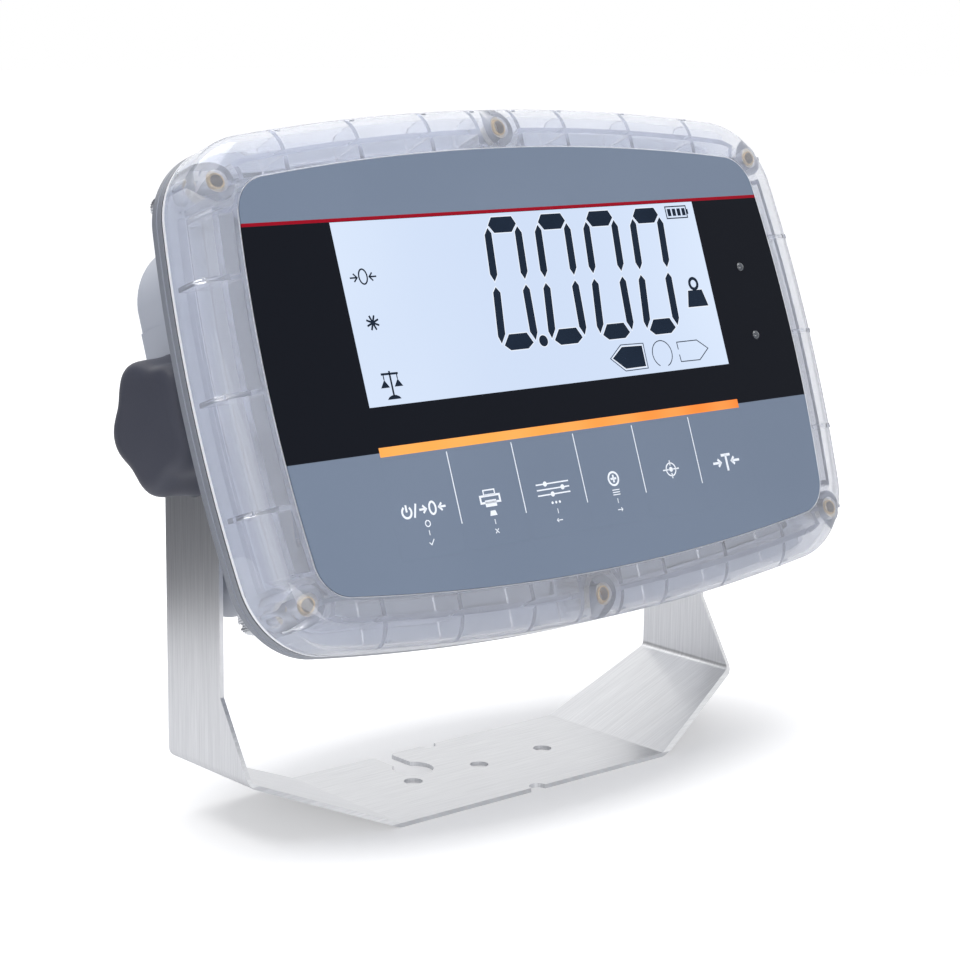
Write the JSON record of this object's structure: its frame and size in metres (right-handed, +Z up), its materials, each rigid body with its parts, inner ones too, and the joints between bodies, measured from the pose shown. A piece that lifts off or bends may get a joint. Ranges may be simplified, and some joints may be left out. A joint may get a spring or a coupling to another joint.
{
  "type": "weighing indicator",
  "caption": "Bench weighing indicator: a clear-fronted display head with a membrane keypad and status light bar, tilting between the arms of a bent steel bracket.",
  "frame": {"origin": "middle fixing hole of the bracket's base, on its underside", "axes": "+Z up, the face looks along -Y, +X to the right of the reader"},
  "size_m": [0.262, 0.1214, 0.2292],
  "materials": {
    "stainless_strip": "brushed",
    "clear_housing": "polished clear",
    "grey_housing": "satin",
    "gasket": "matte",
    "brass": "machined",
    "knurled_screws": "knurled",
    "overlay_film": "fine matte print",
    "circuit_film": "matte",
    "bright_steel": "smooth",
    "flex_tail": "satin",
    "window_film": "clear",
    "black_plastic": "matte",
    "light_bar": "lit diffuser",
    "led_white": "gloss",
    "lcd_glass": "clear",
    "backlight": "lit diffuser",
    "circuit_board": "solder mask",
    "terminal_green": "matte",
    "transformer_yellow": "taped",
    "battery_wrap": "shrink wrap",
    "gland_grey": "moulded",
    "knob_charcoal": "fine texture"
  },
  "bodies": {
    "bracket": {"bracket": "stainless_strip"},
    "head": {"front_housing": "clear_housing", "rear_housing": "grey_housing", "housing_gasket": "gasket", "housing_inserts": "brass", "housing_screws": "knurled_screws", "pivot_inserts": "brass", "friction_washers": "gasket", "overlay": "overlay_film", "keypad_circuit": "circuit_film", "key_domes": "bright_steel", "keypad_tail": "flex_tail", "window_pane": "window_film", "sensor_lenses": "window_film", "proximity_sensors": "black_plastic", "light_bar": "light_bar", "bar_leds": "led_white", "lcd_glass": "lcd_glass", "lcd_backlight": "backlight", "lcd_bezel": "black_plastic", "main_board": "circuit_board", "board_screws": "bright_steel", "board_chips": "black_plastic", "terminal_blocks": "terminal_green", "power_board": "circuit_board", "power_parts": "transformer_yellow", "power_screws": "bright_steel", "battery_pack": "battery_wrap", "battery_strap": "bright_steel", "strap_screws": "bright_steel", "gland_bodies": "gland_grey", "gland_washers": "gasket", "gland_seals": "gasket", "gland_nuts": "gland_grey", "gland_locknuts": "gland_grey"},
    "knob_left": {"knob_left": "knob_charcoal", "stud_left": "bright_steel"},
    "knob_right": {"knob_right": "knob_charcoal", "stud_right": "bright_steel"},
    "key_1": {"key_1": "overlay_film"},
    "key_2": {"key_2": "overlay_film"},
    "key_3": {"key_3": "overlay_film"},
    "key_4": {"key_4": "overlay_film"},
    "key_5": {"key_5": "overlay_film"},
    "key_6": {"key_6": "overlay_film"}
  },
  "joints": [
    {"name": "head_tilt", "type": "hinge", "parent": "bracket", "child": "head", "pos_m": [0, 0.014, 0.133], "axis": [-1, 0, 0], "range_deg": [-20, 70]},
    {"name": "knob_left_turn", "type": "hinge", "parent": "head", "child": "knob_left", "pos_m": [-0.118, 0.014, 0.133], "axis": [-1, 0, 0], "continuous": true},
    {"name": "knob_right_turn", "type": "hinge", "parent": "head", "child": "knob_right", "pos_m": [0.118, 0.014, 0.133], "axis": [1, 0, 0], "continuous": true},
    {"name": "key_1_press", "type": "slide", "parent": "head", "child": "key_1", "axis": [0, 0.9379, -0.3469], "range_m": [0, 0.00035], "stiffness_N_per_m": 2500},
    {"name": "key_2_press", "type": "slide", "parent": "head", "child": "key_2", "axis": [0, 0.9379, -0.3469], "range_m": [0, 0.00035], "stiffness_N_per_m": 2500},
    {"name": "key_3_press", "type": "slide", "parent": "head", "child": "key_3", "axis": [0, 0.9379, -0.3469], "range_m": [0, 0.00035], "stiffness_N_per_m": 2500},
    {"name": "key_4_press", "type": "slide", "parent": "head", "child": "key_4", "axis": [0, 0.9379, -0.3469], "range_m": [0, 0.00035], "stiffness_N_per_m": 2500},
    {"name": "key_5_press", "type": "slide", "parent": "head", "child": "key_5", "axis": [0, 0.9379, -0.3469], "range_m": [0, 0.00035], "stiffness_N_per_m": 2500},
    {"name": "key_6_press", "type": "slide", "parent": "head", "child": "key_6", "axis": [0, 0.9379, -0.3469], "range_m": [0, 0.00035], "stiffness_N_per_m": 2500}
  ]
}
